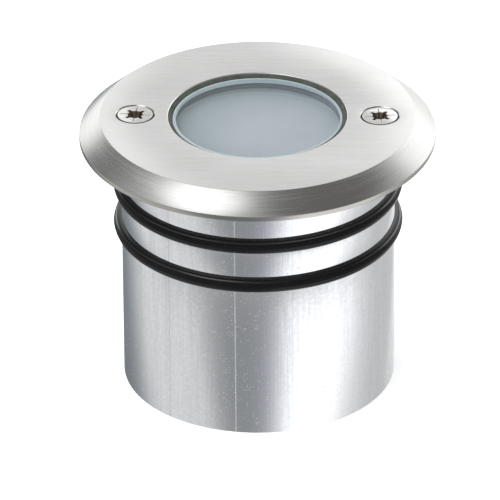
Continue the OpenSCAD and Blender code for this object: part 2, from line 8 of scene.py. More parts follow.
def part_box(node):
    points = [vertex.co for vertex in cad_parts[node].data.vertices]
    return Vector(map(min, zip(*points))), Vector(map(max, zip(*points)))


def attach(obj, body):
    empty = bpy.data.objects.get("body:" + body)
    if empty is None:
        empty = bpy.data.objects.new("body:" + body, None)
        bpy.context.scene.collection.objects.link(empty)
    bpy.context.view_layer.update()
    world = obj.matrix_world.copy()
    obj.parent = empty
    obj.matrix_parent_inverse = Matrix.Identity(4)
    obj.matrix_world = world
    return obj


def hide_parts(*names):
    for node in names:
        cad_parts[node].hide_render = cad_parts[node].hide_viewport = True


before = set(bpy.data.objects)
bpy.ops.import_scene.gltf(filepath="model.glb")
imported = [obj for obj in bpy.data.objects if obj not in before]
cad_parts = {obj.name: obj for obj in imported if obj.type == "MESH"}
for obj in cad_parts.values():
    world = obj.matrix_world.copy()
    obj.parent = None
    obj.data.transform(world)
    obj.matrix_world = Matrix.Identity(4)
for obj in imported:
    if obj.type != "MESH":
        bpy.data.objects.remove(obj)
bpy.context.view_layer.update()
scene = bpy.context.scene
MM = 0.001

# The camera looks down on the light from the front through a long lens, so the round shapes hardly taper.
# It is swung a little to one side and rolled a little, as the photograph was taken.
camera_elevation = radians(29.33)
camera_swing = radians(1.62)
camera_roll = radians(0.438)
camera_distance = 1692.4 * MM
camera_offset = Vector((-1.906 * MM, -8.428 * MM))
camera_target_height = 39.5 * MM
sensor_width = 36
lens_length = 540.49
clip_end = 20

back = Vector((0, -cos(camera_elevation), sin(camera_elevation)))
right = Vector((1, 0, 0))
up = back.cross(right)
place = Vector((0, 0, camera_target_height)) + back * camera_distance
place += right * camera_offset.x + up * camera_offset.y
across = right * cos(camera_roll) - up * sin(camera_roll)
upward = right * sin(camera_roll) + up * cos(camera_roll)
stance = Matrix((across, upward, back)).transposed().to_4x4()
stance.translation = place

camera = bpy.data.objects.new("camera", bpy.data.cameras.new("camera"))
camera.data.sensor_width = sensor_width
camera.data.lens = lens_length
camera.data.clip_end = clip_end
camera.matrix_world = Matrix.Rotation(camera_swing, 4, "Z") @ stance
scene.collection.objects.link(camera)
scene.camera = camera
scene.view_settings.view_transform = "Standard"


# The floor is a plain pale sheet. The studio round it is a soft light overhead, and a world whose soft panels
# are what the metal mirrors: bright ones left, behind and right, with darker gaps between them.
def feed(tree, fed, values):
    """Sets or links the sockets of a node. A colour is given as three numbers."""
    for name, value in values.items():
        socket = fed.inputs[name]
        if isinstance(value, bpy.types.NodeSocket):
            tree.links.new(value, socket)
        elif socket.type == "RGBA":
            socket.default_value = (*value, 1)
        else:
            socket.default_value = value


def node(tree, kind, values=None, **settings):
    """Adds a node, with its settings and the values or links of its sockets."""
    made = tree.nodes.new("ShaderNode" + kind)
    for name, value in settings.items():
        setattr(made, name, value)
    feed(tree, made, values or {})
    return made


def blend_colours(tree, factor, low, high):
    """The mix of two colours, from low to high."""
    return node(tree, "Mix", {0: factor, 6: low, 7: high}, data_type="RGBA").outputs[2]


def vector_maths(tree, operation, *values):
    """The result of an operation on vectors, which is a number for a product or a length."""
    made = node(tree, "VectorMath", dict(enumerate(values)), operation=operation)
    return made.outputs["Value" if operation in ("DOT_PRODUCT", "LENGTH") else "Vector"]


def ramp(tree, value, start=0, end=1, low=0, high=1, soft=False):
    """Carries a value from one range to another, and holds it at both ends."""
    return node(tree, "MapRange", {
        "Value": value, "From Min": start, "From Max": end, "To Min": low, "To Max": high,
    }, interpolation_type="SMOOTHSTEP" if soft else "LINEAR").outputs[0]


def grey(level, warmth=0.0):
    """A grey of this brightness, warmer above nought and cooler below."""
    return (level * (1 + warmth), level, level * (1 - warmth))


def panel(tree, under, heading, facing, half_angle, softness, colour):
    """Lays a soft round panel of light over the colour under it."""
    near = vector_maths(tree, "DOT_PRODUCT", heading, Vector(facing).normalized())
    outer = cos(radians(half_angle + softness))
    inner = cos(radians(max(half_angle - softness, 0)))
    return blend_colours(tree, ramp(tree, near, outer, inner, soft=True), under, colour)


world = bpy.data.worlds.new("studio")
scene.world = world
world.use_nodes = True
sky = world.node_tree
sky.nodes.clear()
heading = node(sky, "TexCoord").outputs["Generated"]
level_heading = vector_maths(sky, "NORMALIZE", vector_maths(sky, "MULTIPLY", heading, (1, 1, 0)))

above = grey(0.38)
for facing, half_angle, softness, colour in (
    ((0, 0.87, 0.49), 26, 14, grey(0.85)),
    ((-0.73, 0.48, 0.48), 16, 8, grey(0.17)),
    ((-0.56, 0.8, 0.2), 8, 4, grey(1.35)),
    ((-0.42, 0.91, 0), 17, 6, grey(1.3)),
    ((-0.38, -0.235, 0.893), 16.8, 6, grey(1.7)),
    ((0.45, -0.15, 0.88), 31, 6, grey(0.12, 0.02)),
    ((0.4, 0.92, 0), 18, 8, grey(0.95)),
    ((0.62, 0.74, 0.26), 22, 8, grey(1.35)),
):
    above = panel(sky, above, heading, facing, half_angle, softness, colour)

# The lower panels stand at a level angle from the camera's side towards the right.
below = grey(0.77, -0.005)
for angle, half_angle, softness, colour in (
    (-172, 45, 25, grey(0.23, -0.1)),
    (133, 21, 14, grey(0.6, -0.01)),
    (166, 9, 8, grey(1.05)),
    (-11, 25, 20, grey(0.29, -0.04)),
    (18, 12, 10, (0.355, 0.355, 0.42)),
    (52, 28, 16, grey(1.4, -0.015)),
):
    facing = (sin(radians(angle)), -cos(radians(angle)), 0)
    below = panel(sky, below, level_heading, facing, half_angle, softness, colour)

height = node(sky, "SeparateXYZ", {0: heading}).outputs["Z"]
light_colour = blend_colours(sky, ramp(sky, height, -0.2, -0.1), below, above)
background = node(sky, "Background", {"Color": light_colour})
node(sky, "OutputWorld", {"Surface": background.outputs[0]})

crease_angle = 32


def as_mesh(shape):
    """Turns a shape into a mesh."""
    mesh = bpy.data.meshes.new("shape")
    shape.to_mesh(mesh)
    shape.free()
    return mesh


def link_object(name, shape, materials=(), crease=crease_angle):
    """Adds a shape or a mesh to the scene, smooth but for its creases, with its name and materials."""
    mesh = as_mesh(shape) if isinstance(shape, bmesh.types.BMesh) else shape
    mesh.name = name
    mesh.shade_smooth()
    mesh.set_sharp_from_angle(angle=radians(crease))
    piece = bpy.data.objects.new(name, mesh)
    for material in materials:
        mesh.materials.append(material)
    scene.collection.objects.link(piece)
    return piece


def new_material(name):
    """A new material, its node tree and its shader."""
    material = bpy.data.materials.new(name)
    material.use_nodes = True
    return material, material.node_tree, material.node_tree.nodes["Principled BSDF"]


floor_radius = 4
floor_drop = 0.02
floor_material, tree, shader = new_material("pale_floor")
feed(tree, shader, {
    "Base Color": grey(0.9), "Roughness": 0.9, "Emission Color": grey(1), "Emission Strength": 0.5,
})
shape = bmesh.new()
bmesh.ops.create_circle(shape, cap_ends=True, segments=96, radius=floor_radius)
bmesh.ops.translate(shape, verts=shape.verts, vec=(0, 0, -floor_drop * MM))
floor = link_object("floor", shape, [floor_material])
floor.visible_glossy = False

overhead_place = (-0.3, -0.2, 1.5)
overhead_size = 1.6
overhead_power = 22
overhead = bpy.data.objects.new("overhead_light", bpy.data.lights.new("overhead_light", "AREA"))
overhead.data.size = overhead_size
overhead.data.energy = overhead_power
overhead.location = overhead_place
overhead.rotation_euler = Vector(overhead_place).to_track_quat("Z", "Y").to_euler()
overhead.visible_glossy = False
scene.collection.objects.link(overhead)

card_back = 250
card_half_width = 110
card_low, card_high = 120, 340
card_material, tree, shader = new_material("back_card")
place = node(tree, "TexCoord").outputs["Object"]
card_colour = grey(0.73)
for direction, near, far, level in (((1, 0, 0), -42, -58, 1.13), ((1, 0, -0.5), -80, -50, 1.43)):
    aside = vector_maths(tree, "DOT_PRODUCT", place, direction)
    share = ramp(tree, aside, near * MM, far * MM, soft=True)
    card_colour = blend_colours(tree, share, card_colour, grey(level))
feed(tree, shader, {
    "Base Color": grey(0), "Roughness": 1, "Specular IOR Level": 0,
    "Emission Color": card_colour, "Emission Strength": 1,
})
shape = bmesh.new()
bmesh.ops.create_grid(shape, x_segments=1, y_segments=1, size=1)
bmesh.ops.scale(shape, verts=shape.verts, vec=(card_half_width * MM, (card_high - card_low) / 2 * MM, 1))
bmesh.ops.rotate(shape, verts=shape.verts, matrix=Matrix.Rotation(pi / 2, 3, "X"))
bmesh.ops.translate(shape, verts=shape.verts, vec=(0, card_back * MM, (card_high + card_low) / 2 * MM))
card = link_object("back_card", shape, [card_material])
card.visible_camera = False
card.visible_diffuse = False
card.visible_transmission = False
card.visible_shadow = False


# The bezel is a thick ring of stainless steel. Its flat top is brushed in straight lines from side to side,
# and its bevel and its upright edge are turned, so their lines run round it. Two countersunk holes take the
# screws.
def heights_of(name):
    """A built node's lowest and highest point and its reach to the right, in millimetres."""
    low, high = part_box(name)
    return low.z / MM, high.z / MM, high.x / MM


weld_distance = 0.001


def lathe(outline, segments=160, shape=None):
    """Spins an outline of (radius, height) points in millimetres right round the upright axis.

    An outline that starts on the axis ends on it too, and any other is closed."""
    if shape is None:
        shape = bmesh.new()
    corners = [shape.verts.new((r * MM, 0, z * MM)) for r, z in outline]
    sides = [shape.edges.new(pair) for pair in zip(corners, corners[1:])]
    if outline[0][0] > 0:
        sides.append(shape.edges.new((corners[-1], corners[0])))
    bmesh.ops.spin(shape, geom=corners + sides, cent=(0, 0, 0), axis=(0, 0, 1), angle=2 * pi,
                   steps=segments, use_merge=True)
    bmesh.ops.remove_doubles(shape, verts=shape.verts, dist=weld_distance * MM)
    bmesh.ops.recalc_face_normals(shape, faces=shape.faces)
    return shape


def move(shape, place):
    """Puts a shape in its place."""
    bmesh.ops.transform(shape, matrix=place, verts=shape.verts)
    return shape


def turned_at(places, outline, segments):
    """A turned shape at each place."""
    return [move(lathe(outline, segments), place) for place in places]


def round_edges(shape, radius, steps=2, least_angle=20):
    """Rounds every edge that is sharper than an angle."""
    sharp = [e for e in shape.edges if e.is_manifold and e.calc_face_angle(0) > radians(least_angle)]
    bmesh.ops.bevel(shape, geom=sharp, offset=radius * MM, offset_type="OFFSET", affect="EDGES",
                    segments=steps, profile=0.5, material=-1, clamp_overlap=True)
    return shape


def combine(shape, tool_shapes, operation="DIFFERENCE"):
    """Cuts the tool shapes out of a shape, joins them to it, or keeps what is common to both."""
    body = link_object("body", shape)
    tools = [link_object("tool", tool_shape) for tool_shape in tool_shapes]
    for tool in tools:
        change = body.modifiers.new("change", "BOOLEAN")
        change.operation = operation
        change.solver = "EXACT"
        change.object = tool
    result = bpy.data.meshes.new_from_object(body.evaluated_get(bpy.context.evaluated_depsgraph_get()))
    for used in [body] + tools:
        bpy.data.objects.remove(used)
    return result


def maths(tree, operation, *values):
    """The result of an operation on numbers."""
    return node(tree, "Math", dict(enumerate(values)), operation=operation).outputs[0]


def noise(tree, place, scale, detail, roughness=0.5):
    """A cloudy value between nought and one."""
    return node(tree, "TexNoise", {
        "Vector": place, "Scale": scale, "Detail": detail, "Roughness": roughness,
    }).outputs[0]


def relief(tree, height, depth):
    """The surface direction that a height of this depth in millimetres gives."""
    return node(tree, "Bump", {"Height": height, "Distance": depth * MM, "Strength": 1}).outputs[0]


def new_group(name, inputs, outputs):
    """A new node group, and the sockets that its inputs arrive at."""
    group = bpy.data.node_groups.new(name, "ShaderNodeTree")
    for direction, sockets in (("INPUT", inputs), ("OUTPUT", outputs)):
        for title, kind in sockets.items():
            group.interface.new_socket(title, in_out=direction, socket_type="NodeSocket" + kind)
    return group, group.nodes.new("NodeGroupInput").outputs


def use_group(tree, group, values):
    """Places a node group with its values."""
    return node(tree, "Group", values, node_tree=group).outputs


# Fine drawn-out lines with a cloudy variation, for brushed, turned, drawn and moulded surfaces.
grain, given = new_group(
    "grain", {"Vector": "Vector", "Lines Per Metre": "Vector", "Clouds Per Metre": "Float"},
    {"Lines": "Float", "Clouds": "Float"})
drawn = vector_maths(grain, "MULTIPLY", given["Vector"], given["Lines Per Metre"])
fine = noise(grain, drawn, 1, 4, 0.65)
wide = noise(grain, given["Vector"], given["Clouds Per Metre"], 2)
feed(grain, grain.nodes.new("NodeGroupOutput"), {
    "Lines": ramp(grain, fine, 0.3, 0.7), "Clouds": ramp(grain, wide, 0.3, 0.7),
})

# The space round the upright axis, unrolled: distance round it, distance from it, and height.
unroll, given = new_group(
    "unroll", {"Vector": "Vector", "Radius": "Float"}, {"Vector": "Vector", "Angle": "Float"})
parts = node(unroll, "SeparateXYZ", {0: given["Vector"]}).outputs
angle = maths(unroll, "ARCTAN2", parts["X"], maths(unroll, "MULTIPLY", parts["Y"], -1))
flat = node(unroll, "CombineXYZ", {"X": parts["X"], "Y": parts["Y"]}).outputs[0]
unrolled = node(unroll, "CombineXYZ", {
    "X": maths(unroll, "MULTIPLY", angle, given["Radius"]),
    "Y": vector_maths(unroll, "LENGTH", flat),
    "Z": parts["Z"],
})
feed(unroll, unroll.nodes.new("NodeGroupOutput"), {"Vector": unrolled.outputs[0], "Angle": angle})

# Scattered small specks, for dust, pits and dirt.
specks, given = new_group(
    "specks", {"Vector": "Vector", "Per Metre": "Float", "Size": "Float", "Share": "Float"},
    {"Specks": "Float"})
cells = node(specks, "TexVoronoi", {"Vector": given["Vector"], "Scale": given["Per Metre"]}).outputs
dot = maths(specks, "LESS_THAN", cells["Distance"], given["Size"])
pick = node(specks, "SeparateXYZ", {0: cells["Color"]}).outputs["X"]
chosen = maths(specks, "LESS_THAN", pick, given["Share"])
feed(specks, specks.nodes.new("NodeGroupOutput"), {"Specks": maths(specks, "MULTIPLY", dot, chosen)})


def surface(name, dark, light, smooth, rough, lines, bump, clouds, metallic=0.0, radius=None, speck=None,
            anisotropic=0.0, specular=0.5):
    """A material between two tones and two roughnesses along its grain, which runs round at a radius."""
    material, tree, shader = new_material(name)
    place = node(tree, "TexCoord").outputs["Object"]
    if radius:
        place = use_group(tree, unroll, {"Vector": place, "Radius": radius * MM})["Vector"]
    lines = lines if isinstance(lines, tuple) else (lines, lines, lines)
    drawn = use_group(tree, grain, {"Vector": place, "Lines Per Metre": lines, "Clouds Per Metre": clouds})
    mask = maths(tree, "MULTIPLY", maths(tree, "ADD", drawn["Lines"], drawn["Clouds"]), 0.5)
    colour = blend_colours(tree, mask, dark, light)
    if speck:
        per_metre, share, tone = speck
        dots = use_group(tree, specks, {
            "Vector": place, "Per Metre": per_metre, "Size": 0.15, "Share": share,
        })
        colour = blend_colours(tree, dots["Specks"], colour, tone)
    feed(tree, shader, {
        "Base Color": colour, "Roughness": ramp(tree, drawn["Lines"], low=smooth, high=rough),
        "Normal": relief(tree, drawn["Lines"], bump), "Metallic": metallic, "Anisotropic": anisotropic,
        "Specular IOR Level": specular,
    })
    return material


flange_z, top_z, bezel_r = heights_of("bezel_ring")
bevel_w = 4.7
bevel_h = 4
aperture_r = 20
aperture_chamfer = 0.2
recess_r = 30.85
recess_z = 59.7
glass_pocket_r = 22.85
lip_underside = 61.5
screw_reach = 27.4
screw_hole_r = 2.15
countersink_r = 4.48
retainer_pocket_r = 3.2
retainer_pocket_top = 61.4
overrun = 1
nudge = 0.1
edge_margin = 0.05
screw_places = {
    "left": Matrix.Translation((-screw_reach * MM, 0, 0)),
    "right": Matrix.Translation((screw_reach * MM, 0, 0)),
}

brushed_steel = surface(
    "brushed_steel", (0.74, 0.74, 0.735), (0.86, 0.86, 0.855), 0.24, 0.36, (55, 2600, 2600), 0.004, 60,
    metallic=1)
turned_steel = surface(
    "turned_steel", (0.74, 0.74, 0.73), (0.85, 0.85, 0.84), 0.2, 0.3, (60, 3800, 3800), 0.002, 60, metallic=1,
    radius=37, anisotropic=0.6)
# The upright edge below the bevel takes a darker, warmer copy of the steel: painted shade.
edge_shade_steel = surface(
    "painted_shade_bezel_edge", (0.4, 0.386, 0.355), (0.55, 0.532, 0.495), 0.16, 0.24, (60, 2600, 2600), 0.005, 90,
    metallic=1, radius=40)

shape = lathe([
    (aperture_r + aperture_chamfer, top_z), (bezel_r - bevel_w, top_z), (bezel_r, top_z - bevel_h),
    (bezel_r, flange_z), (recess_r, flange_z), (recess_r, recess_z), (glass_pocket_r, recess_z),
    (glass_pocket_r, lip_underside), (aperture_r, lip_underside), (aperture_r, top_z - aperture_chamfer),
], segments=224)
round_edges(shape, 0.07)
cutters = turned_at(screw_places.values(), [
    (0, flange_z - overrun), (retainer_pocket_r, flange_z - overrun),
    (retainer_pocket_r, retainer_pocket_top), (screw_hole_r, retainer_pocket_top),
    (screw_hole_r, top_z - (countersink_r - screw_hole_r)), (countersink_r, top_z),
    (countersink_r + nudge, top_z + nudge), (0, top_z + nudge),
], segments=72)
bezel = link_object("steel_bezel", combine(shape, cutters), [brushed_steel, turned_steel, edge_shade_steel])
for face in bezel.data.polygons:
    reach = face.center.to_2d().length / MM
    height = face.center.z / MM
    if height > top_z - edge_margin and reach < bezel_r - bevel_w:
        face.material_index = 0
    elif height < top_z - bevel_h and reach > bezel_r - edge_margin:
        face.material_index = 2
    else:
        face.material_index = 1
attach(bezel, "bezel")
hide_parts("bezel_ring")

# Two countersunk screws of polished stainless steel hold the bezel down. Each has a cross recess with a
# secondary cross and four marker lines, and its thread is cut below a thinner neck that the retainer sits on.

# The outline of a thread's tooth, as shares of its depth, inwards, and of its pitch, downwards.
thread_tooth = ((1, 1), (1, 0.9), (0, 0.55), (0, 0.45), (1, 0.1), (1, 0))


def helix(radius, depth, pitch, low_z, high_z, segments=40):
    """A real thread between two heights: one tooth's outline, spun upwards by a pitch a turn."""
    shape = bmesh.new()
    turns = ceil((high_z - low_z) / pitch) + 1
    foot = high_z - turns * pitch
    corners = [shape.verts.new(((radius - depth * inwards) * MM, 0, (foot - pitch * downwards) * MM))
               for inwards, downwards in thread_tooth]
    sides = [shape.edges.new(pair) for pair in zip(corners, corners[1:])]
    bmesh.ops.spin(shape, geom=corners + sides, cent=(0, 0, 0), axis=(0, 0, 1),
                   angle=2 * pi * (turns + 1), dvec=(0, 0, pitch * MM / segments),
                   steps=segments * (turns + 1), use_merge=False)
    bmesh.ops.remove_doubles(shape, verts=shape.verts, dist=2 * weld_distance * MM)
    for height, side in ((low_z, -1), (high_z, 1)):
        bmesh.ops.bisect_plane(shape, geom=shape.verts[:] + shape.edges[:] + shape.faces[:],
                               plane_co=(0, 0, height * MM), plane_no=(0, 0, side), clear_outer=True)
    open_edges = [e for e in shape.edges if e.is_boundary]
    bmesh.ops.holes_fill(shape, edges=open_edges, sides=0)
    bmesh.ops.recalc_face_normals(shape, faces=shape.faces)
    return shape


def turn(shape, angle):
    """Turns a shape round the upright axis by an angle in degrees."""
    bmesh.ops.rotate(shape, verts=shape.verts, matrix=Matrix.Rotation(radians(angle), 3, "Z"))
    return shape


def thicken(shape, height):
    """Makes a flat face a solid of this height in millimetres, and returns its new corners."""
    wall = bmesh.ops.extrude_face_region(shape, geom=shape.faces[:])["geom"]
    corners = [v for v in wall if isinstance(v, bmesh.types.BMVert)]
    bmesh.ops.translate(shape, verts=corners, vec=(0, 0, height * MM))
    return corners


def cross_tool(reach, arm_w, waist, notch, depth, top_z):
    """The shape of a cross-recess driver's tip, point down in a face at top_z."""
    tip_overrun = 0.2
    tip_share = 0.6
    arm_half_angle = degrees(asin(arm_w / 2 / reach)) + 1
    notch_from = 44
    shape = bmesh.new()
    for corner in bmesh.ops.create_circle(shape, cap_ends=True, segments=48, radius=1)["verts"]:
        angle = atan2(corner.co.y, corner.co.x)
        off = abs(degrees(angle) % 90 - 45)
        radius = reach if off < arm_half_angle else notch if off > notch_from else waist
        corner.co = Vector((cos(angle), sin(angle), 0)) * radius * MM
    bmesh.ops.translate(shape, verts=shape.verts, vec=(0, 0, tip_overrun * MM))
    foot = thicken(shape, -(depth + tip_overrun))
    bmesh.ops.scale(shape, verts=foot, vec=(tip_share, tip_share, 1))
    bmesh.ops.translate(shape, verts=shape.verts, vec=(0, 0, top_z * MM))
    bmesh.ops.recalc_face_normals(shape, faces=shape.faces)
    return shape


def block(size, middle):
    """The shape of a block of this size in millimetres."""
    shape = bmesh.new()
    bmesh.ops.create_cube(shape, size=1)
    bmesh.ops.scale(shape, verts=shape.verts, vec=[side * MM for side in size])
    bmesh.ops.translate(shape, verts=shape.verts, vec=[side * MM for side in middle])
    return shape


screw_tip, screw_top = heights_of("left_bezel_screw")[:2]
screw_head_r = 4.2
screw_face_r = 3.95
screw_head_edge = 0.1
screw_shank_r = 2
screw_neck_r = 1.6
neck_top = 60.65
thread_top = 59.75
thread_pitch = 0.7
thread_depth = 0.3
screw_turned = {"left": -6, "right": 8}
recess_reach = 2.6
recess_arm_w = 1.25
recess_waist = 1.74
recess_notch = 2.02
recess_depth = 1.9
tick_near, tick_far = 1.5, 3.35
tick_w = 0.16
shaded_margin = 0.1
shaded_top = 0.02
shaded_overlap = 0.5

polished_steel = surface(
    "polished_screw_steel", (0.7, 0.7, 0.69), (0.84, 0.84, 0.83), 0.12, 0.26, 900, 0.002, 700, metallic=1)
# The cross recess and the marker lines take a darker, browner steel: painted shade.
recess_shade_steel = surface(
    "recess_shade_steel", (0.16, 0.13, 0.1), (0.42, 0.36, 0.3), 0.25, 0.5, (1500, 1500, 300), 0.01, 1200,
    metallic=0.8)
# The rim and cone of each head take a near-black steel: painted shade for the dark gap round the head in its
# countersink.
shaded_steel = surface(
    "painted_gap_shade_steel", (0.03, 0.026, 0.022), (0.1, 0.09, 0.08), 0.5, 0.75, 900, 0.01, 1200, metallic=0.4)
for side, place in screw_places.items():
    shape = lathe([
        (0, screw_top), (screw_face_r, screw_top), (screw_head_r, screw_top - screw_head_edge),
        (screw_shank_r, screw_top - screw_head_edge - screw_head_r + screw_shank_r),
        (screw_shank_r, neck_top), (screw_neck_r, neck_top), (screw_neck_r, thread_top), (0, thread_top),
    ], segments=72)
    tools = [cross_tool(recess_reach, recess_arm_w, recess_waist, recess_notch, recess_depth, screw_top)]
    for quarter in range(4):
        tick = block((tick_far - tick_near, tick_w, tick_w * 2), ((tick_far + tick_near) / 2, 0, screw_top))
        tools.append(turn(tick, 90 * quarter))
    head = combine(shape, tools)
    shape = helix(screw_shank_r, thread_depth, thread_pitch, screw_tip, thread_top)
    shape.from_mesh(head)
    move(turn(shape, screw_turned[side]), place)
    for face in shape.faces:
        offset = (face.calc_center_median() - place.translation) / MM
        below_face = screw_top - screw_shank_r - shaded_overlap < offset.z < screw_top - shaded_top
        cone_r = screw_head_r - (screw_top - screw_head_edge - offset.z)
        if below_face and offset.to_2d().length > min(cone_r, screw_face_r) - shaded_margin:
            face.material_index = 2
        else:
            face.material_index = 1 if below_face else 0
    screw = link_object(side + "_screw", shape, [polished_steel, recess_shade_steel, shaded_steel])
    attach(screw, side + "_screw")
    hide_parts(side + "_bezel_screw")


# A small nylon ring is snapped on the neck of each bezel screw, so that the screw stays in the bezel when it
# is undone. It is moulded in natural nylon, and its edges are rounded.
def flat_ring(inner, outer, low, high, segments=160):
    """The shape of a flat ring, or of a disc where the inner radius is nought."""
    return lathe([(inner, low), (outer, low), (outer, high), (inner, high)], segments)


retainer_r = 3
retainer_bore_r = 1.65
retainer_low, retainer_high = 59.8, 60.6
natural_nylon = surface("natural_nylon", (0.8, 0.77, 0.68), (0.88, 0.86, 0.79), 0.35, 0.5, 500, 0.01, 400)
for side, place in screw_places.items():
    shape = flat_ring(retainer_bore_r, retainer_r, retainer_low, retainer_high, segments=48)
    move(round_edges(shape, 0.12), place)
    retainer = link_object(side + "_retainer_ring", shape, [natural_nylon])
    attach(retainer, side + "_retainer")
    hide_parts(side + "_screw_retainer")

# The glass is one stepped disc of tempered glass: a narrower step stands in the bezel's opening on a wider
# flange that is clamped under the lip. Its top is polished inside a seamed band that falls to the rim, the
# wall of the step is ground, and its underside is frosted.
glass_bottom, glass_top, glass_r = heights_of("lens")
step_r = 19.05
step_bottom = 60.9
glass_chamfer = 0.12
flange_chamfer = 0.2
band_reach = (18.35, 17.2)
band_shift = (0.15, -0.7)
band_drop = 0.05
band_margin = 1
top_margin = 0.01
facing_up, facing_down = 0.3, -0.9
glass_crease = 2.8
glass_bend = 1.5

clear_glass, tree, shader = new_material("clear_glass")
place = node(tree, "TexCoord").outputs["Object"]
feed(tree, shader, {
    "Base Color": (0.95, 0.985, 0.985), "Transmission Weight": 1, "IOR": glass_bend,
    "Roughness": ramp(tree, noise(tree, place, 900, 3), low=0.01, high=0.03),
    "Normal": relief(tree, noise(tree, place, 120, 1), 0.002),
})


def frosted_material(name, dark, light, transmission, rings=()):
    """Ground glass: mostly scattered light, with rings of another tone that are painted shade and painted
    light.
    """
    material, tree, shader = new_material(name)
    place = node(tree, "TexCoord").outputs["Object"]
    drawn = use_group(tree, grain, {
        "Vector": place, "Lines Per Metre": (1600, 1600, 1600), "Clouds Per Metre": 60,
    })
    colour = blend_colours(tree, drawn["Clouds"], dark, light)
    for inner, outer, (aside, behind), tone, strength in rings:
        moved = vector_maths(tree, "SUBTRACT", place, (aside * MM, behind * MM, 0))
        reach = vector_maths(tree, "LENGTH", vector_maths(tree, "MULTIPLY", moved, (1, 1, 0)))
        share = ramp(tree, reach, inner * MM, outer * MM, high=strength, soft=True)
        colour = blend_colours(tree, share, colour, tone)
    feed(tree, shader, {
        "Base Color": colour, "Roughness": ramp(tree, drawn["Lines"], low=0.5, high=0.75),
        "Normal": relief(tree, drawn["Lines"], 0.004), "Transmission Weight": transmission, "IOR": glass_bend,
    })
    return material


# The rings are painted light and shade. On the seamed band a lighter outer ring is painted light at the rim.
# On the frosted face the darker rings are painted shade from the bezel's lip and the lighter ones are painted
# light near the rim.
seamed_glass = frosted_material("seamed_glass_edge", (0.26, 0.345, 0.37), (0.32, 0.4, 0.425), 0.25,
                                rings=((18.1, 18.8, (0, 0), (0.49, 0.575, 0.6), 1),))
ground_glass = frosted_material("ground_glass_wall", (0.44, 0.5, 0.56), (0.5, 0.56, 0.62), 0.1)
frosted_glass = frosted_material("frosted_glass", (0.68, 0.75, 0.8), (0.78, 0.83, 0.9), 0.05, rings=(
    (7, 20, (4, -2.5), (0.5, 0.61, 0.65), 0.65),
    (20.45, 20.75, (0, -4.6), (0.74, 0.83, 0.87), 1),
    (20.85, 21.2, (0, -4.6), (0.6, 0.7, 0.74), 1),
    (18.55, 18.9, (0, -0.4), (0.34, 0.39, 0.445), 1),
    (18.8, 19.3, (0, 0), (0.54, 0.6, 0.68), 1),
))
shape = lathe([
    (0, glass_top), (band_reach[1], glass_top), (step_r - glass_chamfer, glass_top - band_drop),
    (step_r, glass_top - glass_chamfer - band_drop), (step_r, step_bottom),
    (glass_r - flange_chamfer, step_bottom), (glass_r, step_bottom - flange_chamfer),
    (glass_r, glass_bottom + flange_chamfer), (glass_r - flange_chamfer, glass_bottom), (0, glass_bottom),
])
band_edge = [corner for corner in shape.verts
             if corner.co.z > (glass_top - top_margin) * MM and corner.co.to_2d().length > MM]
bmesh.ops.scale(shape, verts=band_edge, vec=(band_reach[0] / band_reach[1], 1, 1))
bmesh.ops.translate(shape, verts=band_edge, vec=(band_shift[0] * MM, band_shift[1] * MM, 0))
glass = link_object("stepped_glass", shape, [clear_glass, ground_glass, frosted_glass, seamed_glass],
                    crease=glass_crease)
for face in glass.data.polygons:
    if face.normal.z > facing_up and face.center.z / MM > step_bottom + band_margin:
        face.material_index = 3 if face.center.to_2d().length > (band_reach[1] - band_margin) * MM else 0
    else:
        face.material_index = 2 if face.normal.z < facing_down else 1
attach(glass, "bezel")
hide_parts("lens")

# A dark rubber gasket lines the bezel's opening, slopes down to the glass and turns out over its flange.
# A second, flat one lies under the glass on the housing's ledge.
aperture_gap = 0.05
glass_gap = 0.02
gasket_rubber = surface(
    "gasket_rubber", (0.05, 0.055, 0.047), (0.105, 0.112, 0.097), 0.5, 0.75, 700, 0.02, 300, specular=0.12)
shape = lathe([
    (step_r + aperture_gap, glass_top), (aperture_r - aperture_gap, top_z - aperture_chamfer),
    (aperture_r - aperture_gap, lip_underside), (glass_r, lip_underside), (glass_r, step_bottom + glass_gap),
    (step_r + aperture_gap, step_bottom + glass_gap),
])
upper_gasket = link_object("glass_gasket", shape, [gasket_rubber])
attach(upper_gasket, "bezel")
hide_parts("upper_lens_gasket")

lower_gasket_r = 19.4
ledge_top = 57
shape = round_edges(flat_ring(lower_gasket_r, glass_r, ledge_top, glass_bottom - glass_gap), 0.15)
lower_gasket = link_object("glass_seat_gasket", shape, [gasket_rubber])
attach(lower_gasket, "housing")
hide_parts("lower_lens_gasket")

# The housing is turned from drawn aluminium tube, which keeps its fine upright die lines, a paler seam, and
# the small scuffs of handling. Two grooves take the sealing rings, and the skirt hides the base plate.
tube_top, tube_r = heights_of("housing")[1:]
skirt_r = 28.25
chamber_r = 23.6
seat_r = 19
ledge_bottom = 54
shoulder_z = 22.8
groove_floor_r = 28.95
ring_z = {"upper": 48.1, "lower": 38.3}
ring_section = 3.53
groove_half_h = ring_section / 2 + 0.05
bezel_tap_depth = 8.1
tap_gap = 0.05
tap_point_h = 0.8
tap_mouth_h, tap_mouth_w = 0.25, 0.4
outside_margin = 0.2
side_slope = 0.5

drawn_aluminium, tree, shader = new_material("drawn_aluminium")
place = node(tree, "TexCoord").outputs["Object"]
wrapped = use_group(tree, unroll, {"Vector": place, "Radius": tube_r * MM})
drawn = use_group(tree, grain, {
    "Vector": wrapped["Vector"], "Lines Per Metre": (2600, 1500, 60), "Clouds Per Metre": 90,
})
broad = noise(tree, vector_maths(tree, "MULTIPLY", wrapped["Vector"], (300, 200, 8)), 1, 3, 0.6)
mask = maths(tree, "MULTIPLY_ADD", drawn["Lines"], 0.6, broad)
mask = maths(tree, "MULTIPLY_ADD", noise(tree, place, 1300, 3, 0.7), 1.6, mask)
mask = ramp(tree, mask, 1.05, 2.15)
colour = blend_colours(tree, mask, (0.75, 0.76, 0.775), (0.915, 0.92, 0.93))


def distance(tree, value, middle):
    """How far a value is from its middle, either way."""
    return maths(tree, "ABSOLUTE", maths(tree, "SUBTRACT", value, middle))


